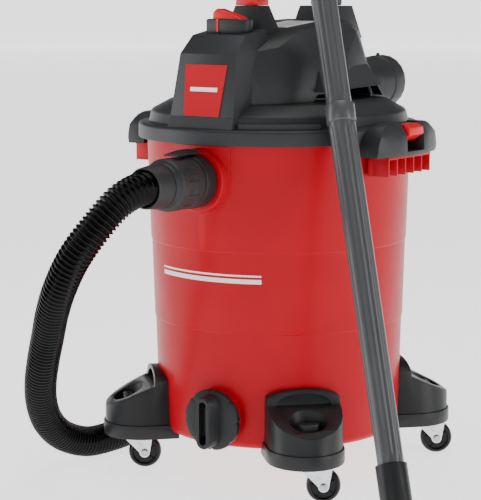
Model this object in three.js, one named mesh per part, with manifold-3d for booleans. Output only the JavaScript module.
// Shop vacuum: a tapered plastic drum on four casters, a lid with a sculpted motor
// housing, a corrugated hose on the inlet port and a two-section wand on a floor nozzle.
// Millimetres, +Z up. The origin is the centre of the drum's flat underside and the
// inlet port faces -Y. The floor is at z = -floorDrop.
import * as THREE from 'three';
import { ConvexGeometry } from 'three/addons/geometries/ConvexGeometry.js';
import { mergeVertices } from 'three/addons/utils/BufferGeometryUtils.js';
import Module from 'manifold-3d';

const wasm = await Module();
wasm.setup();

// ---- Driving dimensions -------------------------------------------------------------

const gap = 0.4;                 // clearance between touching pieces
const runningGap = 0.4;          // radial clearance of pins in their bores

const floorDrop = 63;            // drum underside above the floor
const drumHeight = 460;          // underside to the top of the rolled rim
const drumBaseRadius = 185;
const drumTopRadius = 200;
const drumWall = 3;
const drumBaseFillet = 12;
const stepDepth = 1.4;           // the two ledges round the drum
const stepHeights = [173.5, 293];
const rimFlange = 9.3;           // rolled rim standing out of the wall
const rimHeight = 6.5;
const roundSides = 32;

const portDrop = 65;             // inlet port axis below the rolled rim's top
const portBore = 29;
const portCollarRadius = 46;
const portCollarDepth = 7;
const portPadHalf = 50;          // half-width of the raised pad round the port
const portPadRise = 1.3;

const drainAngle = 6;            // degrees from the front towards +X
const drainHeight = 45;
const drainBore = 30;
const drainCapRadius = 45;

const bandHeight = 22;           // lid rim band
const bandWall = 3;
const deckInset = 7;             // foot of the raised deck, inside the drum's top radius
const deckRise = 36;             // rim band top to the deck's inner flat
const lidHoleRadius = 100;
const lidWall = 3;

const headWall = 3;
const noseHalf = 57;             // half-width of the front block at its base
const noseProud = 5.5;            // its front face, forward of the deck's foot
const headHalf = 127;            // half-width of the housing at its base
const headRise = 115;            // deck flat to the top of the housing

const neckHalf = 21;             // handle neck under the red cap
const neckY = -69;
const neckRise = 22.5;           // housing top to the cap's underside
const handleRise = 50;           // cap's underside to the top of the handle
const handleHalf = 19;
const handleBar = 26;
const handleRearY = 133;

const blowerX = 45;
const blowerRise = 14.5;         // blower port's axis above the deck's flat
const blowerRadius = 42;
const blowerBore = 32;
const blowerReach = 235;

const motorRadius = 60;
const motorHeight = 62;
const shaftRadius = 5;
const fanRadius = 82;
const cageRadius = 52;
const cageHeight = 190;
const filterRadius = 84;
const filterWall = 22;
const floatRadius = 30;
const floatHeight = 60;

const footStemRadius = 232;      // casters' stems from the drum's axis
const footHalf = 54;
const footNose = 38;             // foot's rounded end, beyond the stem
const footSkirt = 3;
const footSkirtHeight = 21;
const footRim = 38;              // top of the foot's rounded outer end
const footDeck = 50;             // top of the post in the foot's well
const footShoulder = 76;         // where the flange's sides start to round over
const footArch = 94;             // top of the flange on the drum
const footUnderside = -8;
const footWall = 3.5;

const wheelRadius = 25;
const wheelWidth = 19;
const casterTrail = 22;
const casterHeading = 34.5;      // degrees from +X to the side the wheels trail to
const axleRadius = 3.5;
const stemRadius = 5.5;
const forkSheet = 1.8;

const latchHalf = 84;
const latchRise = 7.5;           // top of a latch above the lid's band
const latchDepth = 29.9;         // how far a latch stands out of the band
const leverHalf = 20;
const pinRadius = 2.7;
const earHalf = 60;
const earDrop = 28;

const connectorRadius = 37.5;
const hoseRadius = 24;
const connectorBore = 21;
const cuffEnd = 328;             // outer end of the hose cuff, forward of the axis

const wandRestAngle = -32.9;     // degrees from +X to where the wand leans on the lid
const wandHeading = 141;         // degrees from +X that the wand leans towards
const wandLean = 25.93;          // degrees off the vertical
const wandBody = 512;            // shoulder to collar top of one section
const wandInsert = 34;
const wandTopRadius = 19.6;
const wandLowRadius = 17.8;
const wandBore = 15;
const wandCollar = 28;
const wandCollarRadius = 21.3;
const nozzleNeck = 119;          // nozzle neck's top, along the wand from the floor
const nozzleHalf = 115;
const nozzleHeight = 20;

// ---- Derived levels -----------------------------------------------------------------

const bandBottom = drumHeight - 13.5;
const bandTop = bandBottom + bandHeight;
const bandRadius = drumTopRadius + rimFlange + gap * 2 + bandWall;
const deckTop = bandTop + deckRise;
const ledge = bandTop + 2;
const headTop = deckTop + headRise;
const portHeight = drumHeight - portDrop;
const deckRadius = drumTopRadius - deckInset;
const noseFront = deckRadius + noseProud;
const neckTop = headTop + neckRise;
const handleTop = neckTop + handleRise;
const blowerHeight = deckTop + blowerRise;
const footReach = footStemRadius + footNose;
const latchTop = bandTop + latchRise;
const latchReach = bandRadius + latchDepth;
const rad = THREE.MathUtils.degToRad;

// ---- Solids -------------------------------------------------------------------------

// A closed geometry with merged vertices, faces outwards, as a solid that can be cut.
function solid(geometry) {
  const bare = geometry.clone();
  for (const name of Object.keys(bare.attributes)) {
    if (name !== 'position') bare.deleteAttribute(name);
  }
  const merged = mergeVertices(bare, 1e-4);
  const points = merged.attributes.position;
  const corners = [];
  let volume = 0;
  const [a, b, c] = [new THREE.Vector3(), new THREE.Vector3(), new THREE.Vector3()];
  for (let i = 0; i < merged.index.count; i += 3) {
    const [p, q, r] = [0, 1, 2].map((k) => merged.index.getX(i + k));
    if (p === q || q === r || r === p) continue;
    corners.push([p, q, r]);
    a.fromBufferAttribute(points, p);
    b.fromBufferAttribute(points, q);
    c.fromBufferAttribute(points, r);
    volume += a.dot(b.clone().cross(c));
  }
  const outward = volume > 0 ? corners : corners.map(([p, q, r]) => [p, r, q]);
  return new wasm.Manifold(new wasm.Mesh({
    numProp: 3,
    vertProperties: new Float32Array(points.array),
    triVerts: new Uint32Array(outward.flat()),
  }));
}

function geometryOf(body) {
  const { vertProperties, triVerts } = body.getMesh();
  const geometry = new THREE.BufferGeometry();
  geometry.setAttribute('position', new THREE.BufferAttribute(vertProperties, 3));
  geometry.setIndex(new THREE.BufferAttribute(triVerts, 1));
  geometry.computeVertexNormals();
  return geometry;
}

const join = (...bodies) => bodies.reduce((sum, body) => sum.add(body));
const cut = (body, ...tools) => tools.reduce((rest, tool) => rest.subtract(tool), body);

// A turned shape about +Z from [radius, height] pairs.
function turnedGeometry(profile, sides = roundSides) {
  const points = profile.map(([radius, height]) => new THREE.Vector2(radius, height));
  return new THREE.LatheGeometry(points, sides).rotateX(Math.PI / 2);
}

const turned = (profile, sides) => solid(turnedGeometry(profile, sides));

// A turned ring, whose profile closes on itself.
const ring = (profile, sides) => turned([...profile, profile[0]], sides);

// A plain round bar about +Z from one height to another.
const bar = (radius, low, high, sides = 16) =>
  turned([[0, low], [radius, low], [radius, high], [0, high]], sides);

// The same bar with its axis turned to run out along -Y at a given height.
function forward(geometry, height) {
  return geometry.rotateX(Math.PI / 2).translate(0, 0, height);
}

const forwardBar = (radius, near, far, height, sides = 24) => solid(forward(
  turnedGeometry([[0, near], [radius, near], [radius, far], [0, far]], sides),
  height,
));

function box(xLow, xHigh, yLow, yHigh, zLow, zHigh) {
  const geometry = new THREE.BoxGeometry(xHigh - xLow, yHigh - yLow, zHigh - zLow);
  geometry.translate((xLow + xHigh) / 2, (yLow + yHigh) / 2, (zLow + zHigh) / 2);
  return solid(geometry);
}

const hull = (points) => solid(new ConvexGeometry(
  points.map(([x, y, z]) => new THREE.Vector3(x, y, z)),
));

// Points on both sides of the X = 0 plane.
const mirrored = (points) => points.flatMap(([x, y, z]) => [[x, y, z], [-x, y, z]]);

// Points moved in (or out, with a negative wall) along each axis they stand off.
const inset = (points, wall) => points.map(([x, y, z]) => [
  x - Math.sign(x) * wall,
  y - Math.sign(y) * wall,
  z - wall,
]);

function outline(points) {
  return new THREE.Shape(points.map(([x, y]) => new THREE.Vector2(x, y)));
}

// An outline drawn in the plane of Z, raised from one height to another.
function raised(shape, low, high, bevel = 0, curveSegments = 6) {
  const geometry = new THREE.ExtrudeGeometry(shape, {
    depth: high - low - 2 * bevel,
    curveSegments,
    bevelEnabled: bevel > 0,
    bevelSize: bevel,
    bevelOffset: -bevel,
    bevelThickness: bevel,
    bevelSegments: 1,
  });
  return geometry.translate(0, 0, low + bevel);
}

// An outline drawn as (y, z), carried along X.
function alongX(shape, low, high, bevel = 0, curveSegments = 6) {
  const geometry = raised(shape, low, high, bevel, curveSegments);
  return geometry.rotateX(Math.PI / 2).rotateZ(Math.PI / 2);
}

// An outline drawn as (x, z), carried along Y.
function alongY(shape, low, high, bevel = 0, curveSegments = 6) {
  const geometry = raised(shape, -high, -low, bevel, curveSegments);
  return geometry.rotateX(Math.PI / 2);
}

// ---- Materials ----------------------------------------------------------------------

function material(color, roughness, metalness = 0) {
  return new THREE.MeshStandardMaterial({ color, roughness, metalness });
}

const red = material(0xc6181b, 0.42);
const brightRed = material(0xe8332f, 0.38);
const black = material(0x3a3c3e, 0.5);
const softBlack = material(0x2b2c2e, 0.55);
const hoseBlack = material(0x1c1d1e, 0.32);
const wandGrey = material(0x55575a, 0.45);
const zinc = material(0xc9d0d5, 0.35, 0.9);
const steel = material(0xa9adb2, 0.3, 0.95);
const tyreBlack = material(0x202122, 0.5);
const rubber = material(0x1a1a1b, 0.75);
const labelRed = material(0xcc2022, 0.45);
const labelWhite = material(0xe9e9e6, 0.5);
const paper = material(0xe6e2d6, 0.9);
const copper = material(0x8a5a3c, 0.4, 0.8);

const vacuum = new THREE.Group();

function add(name, body, finish, parent = vacuum) {
  const geometry = body instanceof THREE.BufferGeometry ? body : geometryOf(body);
  const mesh = new THREE.Mesh(geometry, finish);
  mesh.name = name;
  parent.add(mesh);
  return mesh;
}

// ---- Drum ---------------------------------------------------------------------------

const taper = (drumTopRadius - drumBaseRadius - stepDepth * stepHeights.length) / drumHeight;

// Outer radius of the drum at a height; each ledge passed adds its depth.
function drumRadius(height, ledgesPassed) {
  return drumBaseRadius + taper * height + stepDepth * ledgesPassed;
}

function drumOutside(grow) {
  const profile = [[0, -grow], [drumBaseRadius - drumBaseFillet, -grow]];
  for (let i = 1; i <= 4; i += 1) {
    const angle = (i * Math.PI) / 8;
    profile.push([
      drumBaseRadius - drumBaseFillet * (1 - Math.sin(angle)) + grow,
      drumBaseFillet * (1 - Math.cos(angle)),
    ]);
  }
  stepHeights.forEach((height, passed) => {
    profile.push([drumRadius(height, passed) + grow, height - stepDepth]);
    profile.push([drumRadius(height, passed + 1) + grow, height]);
  });
  profile.push([drumTopRadius + grow, drumHeight - rimHeight]);
  return profile;
}

const flangeRadius = drumTopRadius + rimFlange;
const drumShell = turned([
  ...drumOutside(0),
  [flangeRadius, drumHeight - rimHeight],
  [flangeRadius, drumHeight],
  [drumTopRadius - drumWall, drumHeight],
  [drumBaseRadius - drumWall, drumBaseFillet],
  [drumBaseRadius - drumBaseFillet, drumWall],
  [0, drumWall],
]);
const drumEnvelope = turned([...drumOutside(gap), [0, drumHeight - rimHeight]]);
const drumInside = turned([
  [0, drumWall],
  [drumBaseRadius - drumBaseFillet, drumWall],
  [drumBaseRadius - drumWall, drumBaseFillet],
  [drumTopRadius - drumWall, drumHeight + 1],
  [0, drumHeight + 1],
]);

// Raised pad with a round foot under the inlet port, following the wall.
const padOutline = new THREE.Shape();
padOutline.moveTo(portPadHalf, 60);
padOutline.lineTo(-portPadHalf, 60);
padOutline.lineTo(-portPadHalf, 0);
padOutline.absarc(0, 0, portPadHalf, Math.PI, 2 * Math.PI);
const padColumn = solid(alongY(padOutline, -drumTopRadius - 5, -100)
  .translate(0, 0, portHeight));
const padSkin = turned([
  [0, 300],
  [drumRadius(300, 2) + portPadRise, 300],
  [drumTopRadius + portPadRise, bandBottom - 2],
  [0, bandBottom - 2],
]);

function drainPlaced(geometry) {
  return solid(forward(geometry, drainHeight).rotateZ(rad(drainAngle)));
}

const drainFace = drumBaseRadius + 10;
const drainBar = (radius, near, far, sides = 24) => drainPlaced(
  turnedGeometry([[0, near], [radius, near], [radius, far], [0, far]], sides),
);

// An ear under each latch: a shelf with open pockets between its ribs.
const earTop = bandBottom - 18;
const earReach = latchReach - 11;
const earDisc = bar(earReach, earTop - earDrop, earTop, roundSides);
function ear(side) {
  const block = side > 0
    ? box(150, 300, -earHalf, earHalf, earTop - earDrop, earTop)
    : box(-300, -150, -earHalf, earHalf, earTop - earDrop, earTop);
  let body = block.intersect(earDisc);
  const pocket = (2 * earHalf - 5 * footWall) / 4;
  for (let i = 0; i < 4; i += 1) {
    const y = -earHalf + footWall + i * (pocket + footWall);
    const near = drumTopRadius + 4;
    const far = earReach - footWall * 2;
    const [low, high] = side > 0 ? [near, far] : [-far, -near];
    body = body.subtract(box(low, high, y, y + pocket, earTop - earDrop - 1, earTop - footWall));
  }
  return body;
}

const portCollar = forwardBar(
  portCollarRadius, 150, drumTopRadius + portCollarDepth, portHeight, 28,
);
const drumBody = cut(
  join(
    drumShell,
    padColumn.intersect(padSkin).subtract(drumInside),
    portCollar.subtract(drumInside),
    drainBar(drainCapRadius + 1, 150, drainFace).subtract(drumInside),
    ear(1).subtract(drumInside),
    ear(-1).subtract(drumInside),
  ),
  forwardBar(portBore, 120, 260, portHeight),
  drainBar(drainBore, 120, 260),
);
add('drum', drumBody, red);

// ---- Drain --------------------------------------------------------------------------

const capBack = drainFace + 3.5;
const capRim = capBack + 9;
const capReach = capRim + 24;
add('drain_gasket', drainPlaced(turnedGeometry([
  [drainBore + 2, drainFace + gap],
  [drainCapRadius - 4, drainFace + gap],
  [drainCapRadius - 4, capBack - gap],
  [drainBore + 2, capBack - gap],
  [drainBore + 2, drainFace + gap],
], 24)), rubber);

const drainScallops = [];
const scallopCount = 8;
for (let i = 0; i < scallopCount; i += 1) {
  const angle = (i * 2 * Math.PI) / scallopCount;
  const geometry = turnedGeometry([[0, capBack - 1], [5, capBack - 1], [5, capRim + 1], [0, capRim + 1]], 6)
    .translate((drainCapRadius + 2.2) * Math.cos(angle), (drainCapRadius + 2.2) * Math.sin(angle), 0);
  drainScallops.push(drainPlaced(geometry));
}
const gripOutline = new THREE.Shape();
const gripHalf = 9.5;
const gripStraight = drainCapRadius - 7 - gripHalf;
gripOutline.absarc(0, gripStraight, gripHalf, 0, Math.PI);
gripOutline.absarc(0, -gripStraight, gripHalf, Math.PI, 2 * Math.PI);
const fingerSlot = new THREE.Path();
fingerSlot.absarc(0, gripStraight, gripHalf - 5.5, 0, Math.PI);
fingerSlot.absarc(0, -gripStraight, gripHalf - 5.5, Math.PI, 2 * Math.PI);
gripOutline.holes.push(fingerSlot);
const drainGrip = drainPlaced(raised(gripOutline, capRim - 1, capReach, 2, 6));
const drainPlug = drainBar(drainBore - gap, drainFace - 18, capBack + 1);
add('drain_cap', cut(
  join(drainBar(drainCapRadius, capBack, capRim, 30), drainPlug, drainGrip),
  ...drainScallops,
  drainBar(drainBore - 4, drainFace - 20, capBack),
), softBlack);

// ---- Inlet deflector inside the drum ------------------------------------------------

const deflectorHalf = portBore + 3;
const deflectorRoom = drumWall - stepDepth * stepHeights.length;
const deflectorInner = Math.min(
  drumRadius(portHeight - deflectorHalf - 6, 0), drumRadius(portHeight + deflectorHalf, 0),
) - deflectorRoom;
const deflectorCorner = Math.sqrt(deflectorInner ** 2 - deflectorHalf ** 2);
const deflectorFront = Math.cos(Math.PI / roundSides) * deflectorCorner - 1.6;
const deflectorBack = deflectorFront - 39;
add('inlet_deflector', cut(
  box(-deflectorHalf, deflectorHalf, -deflectorFront, -deflectorBack,
    portHeight - deflectorHalf - 6, portHeight + deflectorHalf),
  box(-portBore, portBore, -deflectorFront - 1, -deflectorBack - drumWall,
    portHeight - deflectorHalf - 7, portHeight + portBore),
), black);

// ---- Lid ----------------------------------------------------------------------------

const lidOutside = [
  [deckRadius - 53, deckTop],
  [deckRadius - 28, deckTop - 2.5],
  [deckRadius - 2.5, bandTop + 20],
  [deckRadius + 0.5, bandTop + 17],
  [deckRadius + 4, ledge],
  [bandRadius - 3.5, ledge - 1.5],
  [bandRadius - 0.5, bandTop - 2.5],
  [bandRadius, bandBottom],
];
const sealTop = bandTop - 3;
const lidBody = ring([
  [lidHoleRadius, deckTop],
  ...lidOutside,
  [bandRadius - bandWall, bandBottom],
  [bandRadius - bandWall, sealTop],
  [deckRadius + 2, sealTop],
  [deckRadius - 3.5, bandTop + 15.5],
  [deckRadius - 6, bandTop + 17.5],
  [deckRadius - 30, deckTop - 5.5],
  [deckRadius - 53, deckTop - lidWall],
  [lidHoleRadius, deckTop - lidWall],
]);
add('lid', lidBody, black);
const lidEnvelope = turned([
  [0, bandBottom - 20],
  [bandRadius + gap, bandBottom - 20],
  ...lidOutside.map(([radius, height]) => [radius + gap, height + gap]).reverse(),
  [0, deckTop + gap],
]);

add('lid_seal', ring([
  [drumTopRadius - 1, drumHeight + gap],
  [flangeRadius - 2, drumHeight + gap],
  [flangeRadius - 2, sealTop - gap],
  [drumTopRadius - 1, sealTop - gap],
], 24), rubber);

// ---- Motor housing ------------------------------------------------------------------

const side = headHalf;
const base = bandTop + 6;
const housingPoints = mirrored([
  [noseHalf - 1, -158, base], [side - 35, -132, base], [side - 3, -70, base],
  [side, 0, base], [side - 5, 75, base], [side - 39, 135, base], [side - 87, 156, base],
  [noseHalf - 3, -148, deckTop + 45], [side - 43, -125, deckTop + 45],
  [side - 14, -75, deckTop + 45], [side - 9, 0, deckTop + 45],
  [side - 15, 75, deckTop + 45], [side - 47, 128, deckTop + 45], [side - 89, 145, deckTop + 45],
  [noseHalf - 5, -137, headTop - 42], [side - 50, -112, headTop - 36],
  [side - 37, -60, headTop - 30], [side - 33, 0, headTop - 24],
  [side - 36, 75, headTop - 18], [side - 55, 112, headTop - 16], [side - 93, 126, headTop - 14],
  [noseHalf - 11, -118, headTop - 32], [side - 67, -98, headTop - 25],
  [side - 59, -40, headTop - 13], [side - 57, 0, headTop - 9], [side - 59, 75, headTop - 2],
  [side - 73, 104, headTop], [side - 99, 115, headTop],
]);
const noseTop = headTop - 19;
const noseSlope = 8;
const nosePoints = mirrored([
  [noseHalf, -noseFront, bandTop + 0.5], [noseHalf + 4, -120, bandTop + 0.5],
  [noseHalf - 7, -noseFront + 20, noseTop - 26], [noseHalf - 1, -120, noseTop - 26],
  [noseHalf - 10, -noseFront + 46, noseTop], [noseHalf - 8, -100, noseTop + noseSlope],
]);
const rearPoints = mirrored([
  [44, 92, headTop - 30], [44, 168, headTop - 30],
  [36, handleRearY - 22, neckTop - 2], [36, handleRearY + 18, neckTop - 2],
]);
const neckPoints = mirrored([
  [neckHalf + 14, neckY - 26, noseTop - 6], [neckHalf + 14, neckY + 28, noseTop - 6],
  [neckHalf, neckY - 14, neckTop], [neckHalf, neckY + 14, neckTop],
]);
const headOutside = join(...[housingPoints, nosePoints, rearPoints, neckPoints].map(hull));
const grownHead = join(...[housingPoints, nosePoints, rearPoints].map(
  (points) => hull(inset(points, -gap)),
));

// The hollow inside runs down past the base so that the shell is open below.
const hollow = (points) => hull([
  ...inset(points, headWall),
  ...inset(points, headWall * 1.4).filter((point) => point[2] < deckTop)
    .map(([x, y]) => [x, y, bandBottom - 30]),
]);

// Side exhaust slots under a hood, and a fluted recess ahead of each.
const slotTop = deckTop + 14;
function sideCuts(sign) {
  const spread = (points) => hull(points.map(([x, y, z]) => [sign * x, y, z]));
  const slot = spread([
    [side - 22, -84, deckTop - 8], [side + 20, -88, deckTop - 8],
    [side - 22, 80, deckTop - 8], [side + 20, 84, deckTop - 8],
    [side - 22, -72, slotTop - 4], [side + 20, -76, slotTop - 4],
    [side - 22, 70, slotTop + 4], [side + 20, 74, slotTop + 4],
  ]);
  const flute = solid(turnedGeometry([
    [0, bandTop], [17, bandTop], [15, deckTop + 36], [9, deckTop + 46], [0, deckTop + 50],
  ], 14).translate(sign * (side - 3), -104, 0));
  return join(slot, flute);
}

const headShell = cut(
  headOutside,
  hollow(housingPoints),
  hollow(nosePoints),
  sideCuts(1),
  sideCuts(-1),
  lidEnvelope,
);
add('motor_cover', headShell, black);

// Thin plates that follow the housing: a copy moved out, less one moved less far.
function plateOn(columnGeometry, move, thickness) {
  const near = move.clone().multiplyScalar(gap);
  const far = move.clone().multiplyScalar(gap + thickness);
  const shifted = (offset) => solid(
    geometryOf(headOutside).translate(offset.x, offset.y, offset.z),
  );
  return solid(columnGeometry).intersect(shifted(far)).subtract(shifted(near));
}

const labelLow = bandTop + 18;
const labelHigh = noseTop - 41;
add('front_label', plateOn(
  alongY(outline([[-31, labelLow], [31, labelLow], [37, labelHigh], [-37, labelHigh]]),
    -noseFront - 10, -noseFront + 40),
  new THREE.Vector3(0, -1, 0), 0.9,
), labelRed);
add('top_label', plateOn(
  raised(outline([[-26, -18], [26, -18], [26, 62], [-26, 62]]), headTop - 30, headTop + 20),
  new THREE.Vector3(0, 0, 1), 0.9,
), labelWhite);

// ---- Switch -------------------------------------------------------------------------

const switchY = -122;
const switchTop = noseTop + 23;
const switchFloor = noseTop + noseSlope + 3;
const switchPivot = [0, noseTop + 17];
const rockerHalf = 11;
const trayHalf = rockerHalf + 5;
const trayShape = new THREE.Shape();
trayShape.moveTo(-33, -trayHalf);
trayShape.lineTo(20, -trayHalf);
trayShape.absarc(20, 0, trayHalf, -Math.PI / 2, Math.PI / 2);
trayShape.lineTo(-33, trayHalf);
add('switch_housing', cut(
  solid(raised(trayShape, noseTop - 2, switchTop, 1.5, 8).translate(0, switchY, 0)),
  box(-29, 28, switchY - rockerHalf - gap, switchY + rockerHalf + gap, switchFloor, switchTop + 1),
  grownHead,
), softBlack);
const rockerShape = outline([
  [-26, 0], [-26, 13], [-23, 18], [-18, 21], [20, 9], [25, 5], [25, 2], [8, -4], [-8, -4],
]);
add('switch_rocker', alongY(rockerShape, -rockerHalf, rockerHalf, 1.5)
  .translate(switchPivot[0], switchY, switchPivot[1]), brightRed);

// ---- Handle, cord gland and blower port ---------------------------------------------

const capTop = neckTop + gap + 13;
add('handle_cap', hull(mirrored([
  [neckHalf, neckY - 14, neckTop + gap], [neckHalf, neckY + 14, neckTop + gap],
  [neckHalf - 2, neckY - 15, capTop], [neckHalf - 2, neckY + 15, capTop],
])), brightRed);

const handleUnder = handleTop - handleBar;
const handleFoot = neckTop - 2 + gap;
const handleShape = new THREE.Shape();
handleShape.moveTo(neckY - 16, capTop + gap);
handleShape.quadraticCurveTo(neckY - 15, handleTop, neckY + 14, handleTop);
handleShape.lineTo(handleRearY - 15, handleTop - 1);
handleShape.quadraticCurveTo(handleRearY + 17, handleTop - 3, handleRearY + 18, handleTop - 32);
handleShape.lineTo(handleRearY + 17, handleFoot);
handleShape.lineTo(handleRearY - 19, handleFoot);
handleShape.lineTo(handleRearY - 20, handleUnder - 12);
handleShape.quadraticCurveTo(handleRearY - 22, handleUnder, handleRearY - 36, handleUnder);
handleShape.lineTo(neckY + 28, handleUnder);
handleShape.quadraticCurveTo(neckY + 16, handleUnder, neckY + 16, capTop + gap);
add('handle', alongX(handleShape, -handleHalf, handleHalf, 2.5, 6), softBlack);

const glandX = -52;
const glandHeight = deckTop + 26;
add('cord_gland', cut(
  solid(turnedGeometry([
    [0, 130], [11, 130], [11, 166], [8, 168], [6.5, 190], [0, 190],
  ], 14).rotateX(-Math.PI / 2).translate(glandX, 0, glandHeight)),
  grownHead,
  solid(turnedGeometry([[0, 120], [4, 120], [4, 200], [0, 200]], 10)
    .rotateX(-Math.PI / 2).translate(glandX, 0, glandHeight)),
), rubber);

const blowerGeometry = (profile, sides = 20) => solid(
  turnedGeometry(profile, sides).rotateX(-Math.PI / 2).translate(blowerX, 0, blowerHeight),
);
add('blower_port', cut(
  blowerGeometry([
    [0, 110], [blowerRadius - 2, 110], [blowerRadius - 2, blowerReach - 30],
    [blowerRadius, blowerReach - 28], [blowerRadius, blowerReach - 3],
    [blowerRadius - 3, blowerReach], [0, blowerReach],
  ]),
  grownHead,
  lidEnvelope,
  blowerGeometry([[0, 100], [blowerBore, 100], [blowerBore + 1, blowerReach + 1], [0, blowerReach + 1]]),
), black);

// ---- Motor, fan and filter ----------------------------------------------------------

const fanTop = deckTop + gap;
const fanFloor = deckTop - 36;
add('fan_housing', ring([
  [shaftRadius + 6, fanTop], [lidHoleRadius + 12, fanTop], [lidHoleRadius + 12, fanTop + 3],
  [shaftRadius + 6, fanTop + 3],
], 20).add(ring([
  [34, fanFloor], [lidHoleRadius - 4, fanFloor], [lidHoleRadius - 4, fanTop + 1],
  [lidHoleRadius - 7, fanTop + 1], [lidHoleRadius - 7, fanFloor + 3], [34, fanFloor + 3],
], 20)), black);
const motorBase = fanTop + 3 + gap;
const motorEnd = motorBase + motorHeight;
add('motor', ring([
  [shaftRadius + runningGap, motorBase], [motorRadius, motorBase],
  [motorRadius, motorBase + motorHeight * 0.55], [motorRadius - 12, motorBase + motorHeight * 0.6],
  [motorRadius - 12, motorEnd - 8], [motorRadius - 30, motorEnd], [shaftRadius + runningGap, motorEnd],
], 20), copper);
const impellerLow = fanFloor + 8;
const impellerHigh = fanTop - 5;
add('motor_shaft', bar(shaftRadius, impellerLow - 3, motorEnd + 6, 12), steel);
add('impeller', ring([
  [shaftRadius + runningGap, impellerLow], [fanRadius, impellerLow],
  [fanRadius, impellerLow + 2], [fanRadius - 46, impellerLow + 3],
  [16, impellerLow + 14], [14, impellerHigh], [shaftRadius + runningGap, impellerHigh],
], 16).add(join(...Array.from({ length: 6 }, (_, i) => solid(
  raised(outline([[15, -1], [fanRadius - 2, 6], [fanRadius - 2, 8.5], [15, 1.5]]),
    impellerLow + 1, impellerHigh - 3).rotateZ((i * Math.PI) / 3),
)))), zinc);

const cageTop = fanFloor - gap;
const cageLow = cageTop - cageHeight;
const cageWindows = Array.from({ length: 4 }, (_, i) => solid(
  new THREE.BoxGeometry(60, 34, cageHeight - 60)
    .translate(cageRadius, 0, cageLow + 15 + (cageHeight - 60) / 2)
    .rotateZ((i * Math.PI) / 2),
));
const boltRadius = 6;
add('filter_cage', cut(
  join(
    ring([
      [34, cageTop - 4], [34, cageTop], [filterRadius + 6, cageTop], [filterRadius + 6, cageTop - 4],
    ], 24),
    ring([
      [cageRadius - 3, cageLow], [cageRadius, cageLow], [cageRadius, cageTop - 1],
      [cageRadius - 3, cageTop - 1],
    ], 24),
    turned([[0, cageLow], [cageRadius - 1, cageLow], [cageRadius - 1, cageLow + 4], [0, cageLow + 4]], 24),
    bar(boltRadius, cageLow - 24, cageLow + 1, 10),
  ),
  ...cageWindows,
), black);
const floatLow = cageLow + 8;
add('float', turned([
  [0, floatLow], [floatRadius, floatLow], [floatRadius + 4, floatLow + 10],
  [floatRadius + 4, floatLow + floatHeight - 20], [floatRadius - 12, floatLow + floatHeight],
  [0, floatLow + floatHeight],
], 16), labelWhite);

const pleats = 30;
const pleatShape = new THREE.Shape();
for (let i = 0; i < pleats * 2; i += 1) {
  const angle = (i * Math.PI) / pleats;
  const radius = i % 2 ? filterRadius - 5 : filterRadius;
  const [x, y] = [radius * Math.cos(angle), radius * Math.sin(angle)];
  if (i === 0) pleatShape.moveTo(x, y);
  else pleatShape.lineTo(x, y);
}
pleatShape.closePath();
const pleatBore = new THREE.Path();
pleatBore.absarc(0, 0, filterRadius - filterWall, 0, 2 * Math.PI);
pleatShape.holes.push(pleatBore);
add('filter_cartridge', raised(pleatShape, cageLow - 2, cageTop - 4 - gap, 0, 7), paper);
const nutLow = cageLow - 22;
add('filter_nut', cut(
  join(
    turned([[0, nutLow], [14, nutLow], [16, nutLow + 8], [filterRadius - 6, cageLow - 5],
      [filterRadius - 6, cageLow - 2 - gap], [0, cageLow - 2 - gap]], 20),
    box(-26, 26, -2.5, 2.5, nutLow - 2, nutLow + 9),
  ),
  bar(boltRadius + runningGap, nutLow - 5, cageLow + 5, 10),
), softBlack);

// ---- Feet and casters ---------------------------------------------------------------

function footPlan(grow) {
  const shape = new THREE.Shape();
  const straight = footReach - 58;
  shape.moveTo(150, -footHalf - grow);
  shape.lineTo(straight, -footHalf - grow);
  shape.absellipse(straight, 0, 58 + grow, footHalf + grow, -Math.PI / 2, Math.PI / 2);
  shape.lineTo(150, footHalf + grow);
  return shape;
}

const archShape = new THREE.Shape();
archShape.moveTo(-footHalf - footSkirt, footUnderside);
archShape.lineTo(footHalf + footSkirt, footUnderside);
archShape.lineTo(footHalf + footSkirt, footShoulder);
archShape.absellipse(
  0, footShoulder, footHalf + footSkirt, footArch - footShoulder, 0, Math.PI,
);
const footSlopeTop = drumBaseRadius + 15;
const footSideShape = outline([
  [150, footUnderside], [footReach, footUnderside], [footReach, footRim], [footReach - 6, footRim + 4],
  [footSlopeTop, footDeck + 22], [footSlopeTop - 2, footArch + 1], [150, footArch + 1],
]);
const moonShape = new THREE.Shape();
moonShape.moveTo(-footHalf + 13, footArch - 24);
moonShape.lineTo(footHalf - 13, footArch - 24);
moonShape.absellipse(0, footArch - 24, footHalf - 13, 18, 0, Math.PI);

const wellX = footStemRadius + 2;
const wellFloor = footRim - 12;
const stemTop = 14;
const postShape = new THREE.Shape();
postShape.absellipse(wellX, 0, 7.5, 15, 0, 2 * Math.PI);
const wellShape = new THREE.Shape();
wellShape.absellipse(wellX, 0, 23, 28, 0, 2 * Math.PI);

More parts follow.
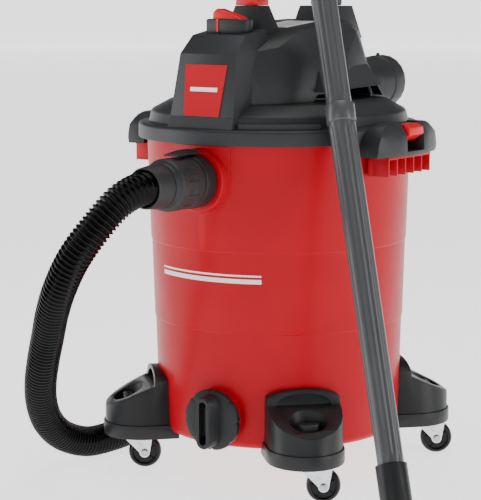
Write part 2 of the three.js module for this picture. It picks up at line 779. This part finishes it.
// The foot in its own frame: +X runs out from the drum's axis through the stem.
const footBody = cut(
  join(
    cut(
      join(
        solid(raised(footPlan(0), footUnderside, footArch + 2, 0, 6))
          .intersect(solid(alongY(footSideShape, -footHalf - 1, footHalf + 1)))
          .intersect(solid(alongX(archShape, 140, footReach + 1, 0, 10))),
        solid(raised(footPlan(footSkirt), footUnderside, footUnderside + footSkirtHeight, 0, 6)),
      ),
      solid(alongX(moonShape, drumBaseRadius + 8, footReach + 1, 0, 6)),
      solid(raised(wellShape, wellFloor, footArch, 0, 7)),
    ),
    solid(raised(postShape, wellFloor - 1, footDeck - 1, 0, 4)),
  ),
  drumEnvelope,
  bar(drumBaseRadius - drumBaseFillet + 1, footUnderside - 1, 1, roundSides),
  solid(raised(footPlan(-footWall), footUnderside - 2, wellFloor - footWall, 0, 5))
    .subtract(turned([[0, footUnderside + 1], [12, footUnderside + 1], [13, wellFloor], [0, wellFloor]], 12)
      .translate([footStemRadius, 0, 0])),
  turned([
    [0, footUnderside - 2], [stemRadius + runningGap, footUnderside - 2],
    [stemRadius + runningGap, stemTop + gap], [0, stemTop + gap],
  ], 12).translate([footStemRadius, 0, 0]),
);
const footGeometry = geometryOf(footBody);

const wheelZ = wheelRadius - floorDrop;
const crownTop = footUnderside - 2.6;
const crownLow = crownTop - forkSheet;
const half = wheelWidth / 2;
const armIn = half + 2;
const armOut = armIn + forkSheet;
const axleBore = axleRadius + 0.1;

function yBar(radius, low, high, sides = 12) {
  return turnedGeometry([[0, low], [radius, low], [radius, high], [0, high]], sides)
    .rotateX(-Math.PI / 2).translate(casterTrail, 0, wheelZ);
}

// Pressed fork: a round crown and two arms that narrow to the axle.
const armShape = new THREE.Shape();
armShape.moveTo(-13, crownTop);
armShape.lineTo(casterTrail + 13, crownTop);
armShape.lineTo(casterTrail + 8, wheelZ);
armShape.absarc(casterTrail, wheelZ, 8, 0, -Math.PI, true);
const arms = [-1, 1].map((sign) => solid(alongY(
  armShape, sign > 0 ? armIn : -armOut, sign > 0 ? armOut : -armIn, 0, 4,
)));
const forkBody = cut(
  join(box(-14, casterTrail + 13, -armOut, armOut, crownLow, crownTop), ...arms),
  solid(yBar(axleBore, -armOut - 1, armOut + 1)),
);
const forkGeometry = geometryOf(forkBody);
const stemGeometry = turnedGeometry([
  [0, crownTop + 0.3], [9, crownTop + 0.3], [9, crownTop + 1.8], [stemRadius, crownTop + 1.8],
  [stemRadius, stemTop], [0, stemTop],
], 12);
const headRadius = 6;
const axleGeometry = turnedGeometry([
  [0, -armOut - 2.2], [headRadius - 2, -armOut - 2.2], [headRadius, -armOut - gap],
  [axleRadius, -armOut - gap], [axleRadius, armOut + gap], [headRadius, armOut + gap],
  [headRadius - 2, armOut + 2.2], [0, armOut + 2.2],
], 12).rotateX(-Math.PI / 2).translate(casterTrail, 0, wheelZ);
const wheelGeometry = turnedGeometry([
  [axleBore, -half], [wheelRadius - 2, -half], [wheelRadius, -half + 2],
  [wheelRadius, half - 2], [wheelRadius - 2, half], [axleBore, half], [axleBore, -half],
], 20).rotateX(-Math.PI / 2).translate(casterTrail, 0, wheelZ);

const corners = { rear_right: 45, rear_left: 135, front_left: 225, front_right: 315 };
for (const [corner, angle] of Object.entries(corners)) {
  const footGroup = new THREE.Group();
  footGroup.rotation.z = rad(angle);
  vacuum.add(footGroup);
  add(`foot_${corner}`, footGeometry, softBlack, footGroup);
  const caster = new THREE.Group();
  caster.position.set(footStemRadius * Math.cos(rad(angle)), footStemRadius * Math.sin(rad(angle)), 0);
  caster.rotation.z = rad(casterHeading);
  vacuum.add(caster);
  add(`caster_stem_${corner}`, stemGeometry, steel, caster);
  add(`caster_fork_${corner}`, forkGeometry, zinc, caster);
  add(`caster_axle_${corner}`, axleGeometry, steel, caster);
  add(`caster_wheel_${corner}`, wheelGeometry, tyreBlack, caster);
}

// ---- Latches ------------------------------------------------------------------------

const latchLow = earTop + gap;
const recessHalf = leverHalf + 4;
const recessFloor = latchLow + 6;
const pinX = bandRadius + 11;
const pinZ = latchTop - 22;
const latchShape = new THREE.Shape();
latchShape.moveTo(-latchHalf, latchLow);
latchShape.lineTo(latchHalf, latchLow);
latchShape.bezierCurveTo(latchHalf, latchTop - 12, latchHalf - 18, latchTop, recessHalf + 14, latchTop);
latchShape.lineTo(-recessHalf - 14, latchTop);
latchShape.bezierCurveTo(-latchHalf + 18, latchTop, -latchHalf, latchTop - 12, -latchHalf, latchLow);
const bandClear = bandRadius + gap;
const latchPinBore = pinRadius + runningGap;
const pinBar = (radius, low, high, sides = 10) => turnedGeometry(
  [[0, low], [radius, low], [radius, high], [0, high]], sides,
).rotateX(-Math.PI / 2).translate(pinX, 0, pinZ);
const latchBody = cut(
  solid(alongX(latchShape, drumTopRadius - 30, latchReach + 20, 0, 6)).intersect(turned([
    [0, latchLow - 1], [latchReach - 2, latchLow - 1], [latchReach, latchLow + 8],
    [latchReach - 1, latchTop - 18], [latchReach - 12, latchTop], [0, latchTop],
  ], 72)),
  bar(bandClear, latchLow - 5, latchTop + 5, roundSides),
  box(bandRadius - 13, latchReach + 20, -recessHalf, recessHalf, recessFloor, latchTop + 10),
  solid(pinBar(latchPinBore, -recessHalf - 10, recessHalf + 10)),
);
const leverShape = new THREE.Shape();
leverShape.moveTo(-6, 0);
leverShape.absarc(0, 0, 6, Math.PI, 1.75 * Math.PI);
leverShape.lineTo(19, 5);
leverShape.lineTo(18, 15);
leverShape.lineTo(9, 20);
leverShape.lineTo(-5, 20);
const leverBody = cut(
  solid(alongY(leverShape, -leverHalf, leverHalf, 1, 4).translate(pinX, 0, pinZ)),
  solid(pinBar(latchPinBore, -leverHalf - 1, leverHalf + 1)),
);
const latchParts = [
  ['latch_body', geometryOf(latchBody), black],
  ['latch_lever', geometryOf(leverBody), brightRed],
  ['latch_pin', pinBar(pinRadius, -recessHalf - 8, recessHalf + 8), steel],
];
for (const [name, turn] of [['right', 0], ['left', 180]]) {
  const group = new THREE.Group();
  group.rotation.z = rad(turn);
  vacuum.add(group);
  for (const [part, geometry, finish] of latchParts) {
    add(`${part}_${name}`, geometry, finish, group);
  }
}

// ---- Hose connector -----------------------------------------------------------------

const collarFace = drumTopRadius + portCollarDepth;
const lockLow = collarFace + gap * 2;
const lockHigh = lockLow + 25.5;
const gripHigh = lockHigh + 54;
const connectorEnd = gripHigh + 8;
const outwards = (profile, sides = 20) => solid(
  forward(turnedGeometry(profile, sides), portHeight),
);
const lockSeat = connectorRadius - 4;
const lockInner = lockSeat + 1;
const gripGrooves = Array.from({ length: 6 }, (_, i) => solid(forward(
  new THREE.BoxGeometry(3, 6, 38)
    .translate(0, connectorRadius + 2, lockHigh + 27)
    .rotateZ((i * Math.PI) / 3 + Math.PI / 6),
  portHeight,
)));
add('hose_connector', cut(
  outwards([
    [0, collarFace - 30], [portBore - gap * 2, collarFace - 30], [portBore - gap * 2, lockLow - 0.2],
    [lockSeat, lockLow], [lockSeat, lockHigh + gap], [connectorRadius - 1, lockHigh + gap],
    [connectorRadius, lockHigh + 4], [connectorRadius, gripHigh - 3], [connectorRadius - 3, gripHigh],
    [connectorRadius - 5, connectorEnd], [0, connectorEnd],
  ]),
  outwards([
    [0, collarFace - 40], [connectorBore, collarFace - 40], [connectorBore, connectorEnd + 10],
    [0, connectorEnd + 10],
  ]),
  ...gripGrooves,
), black);
add('lock_ring', outwards([
  [lockInner, lockLow], [connectorRadius, lockLow],
  [connectorRadius + 1, lockLow + 2], [connectorRadius + 1, lockHigh - 2],
  [connectorRadius, lockHigh], [lockInner, lockHigh], [lockInner, lockLow],
]), black);

const clipUnder = portHeight + connectorRadius + 2.4;
const clipShape = outline([
  [lockLow + 6, clipUnder], [lockHigh + 13, clipUnder], [lockHigh + 17, clipUnder - 1.8],
  [lockHigh + 21, clipUnder], [lockHigh + 36, clipUnder + 2.5], [lockHigh + 34, clipUnder + 5.5],
  [lockHigh + 10, clipUnder + 8], [lockLow + 10, clipUnder + 8], [lockLow + 6, clipUnder + 5],
]);
add('release_clip', alongX(clipShape, -13, 13, 0).rotateZ(Math.PI), softBlack);

const cuffStart = connectorEnd + gap;
const hoseStart = cuffEnd - 16;
add('hose_cuff', outwards([
  [connectorBore, cuffStart], [connectorRadius - 6.5, cuffStart], [connectorRadius - 7, cuffStart + 12],
  [hoseRadius + 5, cuffEnd - 5], [hoseRadius + 4, cuffEnd], [hoseRadius + 2.6, cuffEnd],
  [hoseRadius + 2.6, hoseStart - gap], [connectorBore, hoseStart - gap], [connectorBore, cuffStart],
]), black);

// ---- Hose ---------------------------------------------------------------------------

// It leaves the cuff forwards, droops to the left, lies on the floor past the front left
// caster and turns once behind the drum.
const hoseRoute = [
  [0, -hoseStart, portHeight], [0, -cuffEnd - 9, portHeight], [-9, -cuffEnd - 40, portHeight - 13],
  [-29, -397, 346], [-57, -411, 303],
  [-87, -407, 258], [-118, -389, 217], [-147, -367, 177], [-175, -347, 134],
  [-202, -324, 93], [-226, -296, 54], [-244, -262, 16], [-253, -219, -16],
  [-250, -168, -36], [-245, -115, -38.6], [-247, -61, -38.6], [-252, -7, -38.6],
  [-267, 45, -38.6], [-295, 90, -38.6], [-327, 134, -38.6], [-358, 179, -38.6],
  [-387, 224, -38.6], [-413, 272, -38.6], [-434, 322, -38.6], [-446, 375, -38.6],
  [-449, 429, -38.6], [-438, 482, -38.6], [-414, 531, -38.6], [-377, 569, -38.6],
  [-328, 594, -38.6], [-275, 600, -38.6], [-222, 588, -38.6], [-175, 560, -38.6],
  [-140, 520, -38.6], [-117, 470, -38.6], [-110, 417, -37], [-117, 363, -34],
];
const hoseCurve = new THREE.CatmullRomCurve3(
  hoseRoute.map(([x, y, z]) => new THREE.Vector3(x, y, z)),
);
const hoseSides = 8;
const hoseSteps = 60;
const hoseSection = outline(Array.from({ length: hoseSides }, (_, i) => {
  const angle = (i * 2 * Math.PI) / hoseSides;
  return [hoseRadius * Math.cos(angle), hoseRadius * Math.sin(angle)];
}));
add('hose', new THREE.ExtrudeGeometry(hoseSection, {
  steps: hoseSteps, extrudePath: hoseCurve, bevelEnabled: false,
}), hoseBlack);

// The free end's cuff, in line with the hose's last stretch.
const hoseEnd = hoseCurve.getPoint(1);
const hoseDirection = hoseCurve.getTangent(1);
const endCuff = new THREE.Group();
endCuff.position.copy(hoseEnd);
endCuff.quaternion.setFromUnitVectors(new THREE.Vector3(0, 0, 1), hoseDirection);
vacuum.add(endCuff);
add('hose_end_cuff', ring([
  [hoseRadius - 3, gap], [hoseRadius + 3.2, gap], [hoseRadius + 3.6, 8], [hoseRadius + 1, 40],
  [hoseRadius - 3, 80], [hoseRadius - 6, 80], [hoseRadius - 4, 12],
], 20), black, endCuff);

// ---- Wand and floor nozzle ----------------------------------------------------------

const wandGroup = new THREE.Group();
const wandRestRadius = bandRadius + wandTopRadius + 2;
const wandRun = (bandTop + floorDrop) * Math.tan(rad(wandLean));
const wandFoot = [
  wandRestRadius * Math.cos(rad(wandRestAngle)) - wandRun * Math.cos(rad(wandHeading)),
  wandRestRadius * Math.sin(rad(wandRestAngle)) - wandRun * Math.sin(rad(wandHeading)),
];
wandGroup.position.set(wandFoot[0], wandFoot[1], -floorDrop);
wandGroup.rotation.set(0, rad(wandLean), rad(wandHeading), 'ZYX');
vacuum.add(wandGroup);

const socketRadius = wandLowRadius - 0.6 + 0.5;
const wandLength = wandInsert + wandBody;
const wandProfile = [
  [wandBore, 0], [wandLowRadius - 1, 0], [wandLowRadius - 0.6, wandInsert],
  [wandLowRadius + 0.2, wandInsert], [wandTopRadius, wandLength - wandCollar],
  [wandCollarRadius, wandLength - wandCollar + 1], [wandCollarRadius, wandLength - 1],
  [wandCollarRadius - 1, wandLength], [socketRadius, wandLength],
  [socketRadius, wandLength - wandInsert - 1], [wandBore, wandLength - wandInsert - 3],
];
const lowerStart = nozzleNeck - wandInsert + gap;
const upperStart = lowerStart + wandBody + gap;
for (const [name, start] of [['wand_lower', lowerStart], ['wand_upper', upperStart]]) {
  const section = geometryOf(ring(wandProfile, 20)).translate(0, 0, start);
  add(name, section, wandGrey, wandGroup);
}

// The nozzle's mouth lies on the floor, square to the way the wand leans.
const nozzleGroup = new THREE.Group();
nozzleGroup.position.set(wandFoot[0], wandFoot[1], -floorDrop);
nozzleGroup.rotation.z = rad(wandHeading);
vacuum.add(nozzleGroup);
const neckRadius = wandCollarRadius + 0.2;
const leaned = (profile, sides = 20) => solid(turnedGeometry(profile, sides).rotateY(rad(wandLean)));
function neckRing(radius, along) {
  return Array.from({ length: 20 }, (_, i) => {
    const angle = (i * Math.PI) / 10;
    const point = new THREE.Vector3(radius * Math.cos(angle), radius * Math.sin(angle), along);
    point.applyAxisAngle(new THREE.Vector3(0, 1, 0), rad(wandLean));
    return point.toArray();
  });
}
const mouth = (grow, low, high) => [-1, 1].flatMap((sign) => [
  [-26 - grow, sign * (nozzleHalf + grow - 6), low], [38 + grow, sign * (nozzleHalf + grow - 6), low],
  [-14 - grow, sign * (nozzleHalf + grow - 12), high], [30 + grow, sign * (nozzleHalf + grow - 12), high],
]);
const nozzleSocket = nozzleNeck - wandInsert - 1;
add('floor_nozzle', cut(
  join(
    hull([...mouth(0, 0, nozzleHeight), ...neckRing(neckRadius, 58)]),
    leaned([[0, 56], [neckRadius, 56], [neckRadius, nozzleNeck], [0, nozzleNeck]]),
  ),
  hull([...mouth(-4, -1, nozzleHeight - 4), ...neckRing(wandBore, 56)]),
  leaned([[0, 50], [wandBore, 50], [wandBore, nozzleNeck + 1], [0, nozzleNeck + 1]]),
  leaned([
    [0, nozzleSocket], [socketRadius, nozzleSocket], [socketRadius, nozzleNeck + 1], [0, nozzleNeck + 1],
  ]),
), softBlack, nozzleGroup);

export default vacuum;
